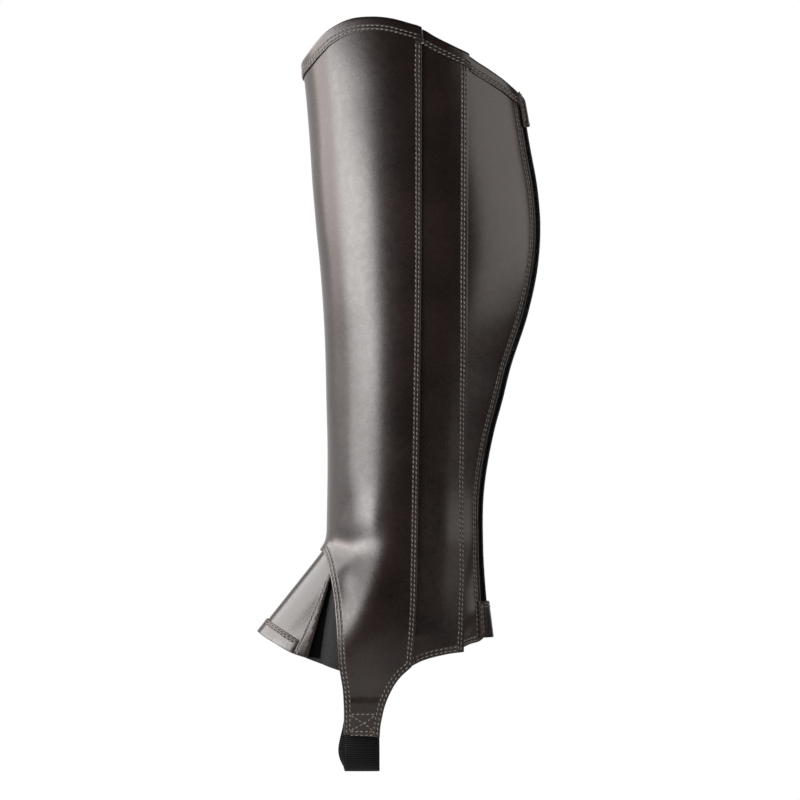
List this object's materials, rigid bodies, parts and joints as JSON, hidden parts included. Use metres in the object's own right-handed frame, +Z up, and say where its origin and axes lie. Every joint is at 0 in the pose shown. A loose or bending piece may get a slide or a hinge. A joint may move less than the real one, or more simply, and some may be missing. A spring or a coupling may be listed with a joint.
{
  "type": "half chap, left leg",
  "caption": "Knee-to-ankle riding legging in leather, open at both ends, with a back zip, instep flap and elastic under the foot.",
  "frame": {"origin": "middle of the calf hollow at its widest level, where the wearer's calf holds the legging up", "axes": "+Z up the leg, -Y towards the shin, +X towards the outer side of the left leg"},
  "size_m": [0.0968, 0.2041, 0.5404],
  "materials": {
    "brown_leather": "smooth, satin",
    "black_cloth": "woven",
    "grey_elastic": "fine woven",
    "black_elastic": "ribbed",
    "black_coil": "satin",
    "dark_metal": "satin"
  },
  "bodies": {
    "root": {"shin_panel": "brown_leather", "side_strip": "brown_leather", "calf_panel_outer": "brown_leather", "calf_panel_inner": "brown_leather", "top_band_shin": "brown_leather", "top_band_strip": "brown_leather", "top_band_calf_outer": "brown_leather", "top_band_calf_inner": "brown_leather", "instep_flap": "brown_leather", "flap_hem_band": "brown_leather", "flap_edging_outer": "brown_leather", "flap_edging_inner": "brown_leather", "flap_backing": "black_cloth", "gusset_outer": "grey_elastic", "gusset_inner": "grey_elastic", "foot_strap": "black_elastic", "zip_tape_outer": "black_cloth", "zip_tape_inner": "black_cloth", "zip_coil": "black_coil", "zip_slider": "dark_metal", "zip_pull": "dark_metal", "zip_guard": "brown_leather", "heel_tab": "brown_leather"}
  },
  "joints": []
}
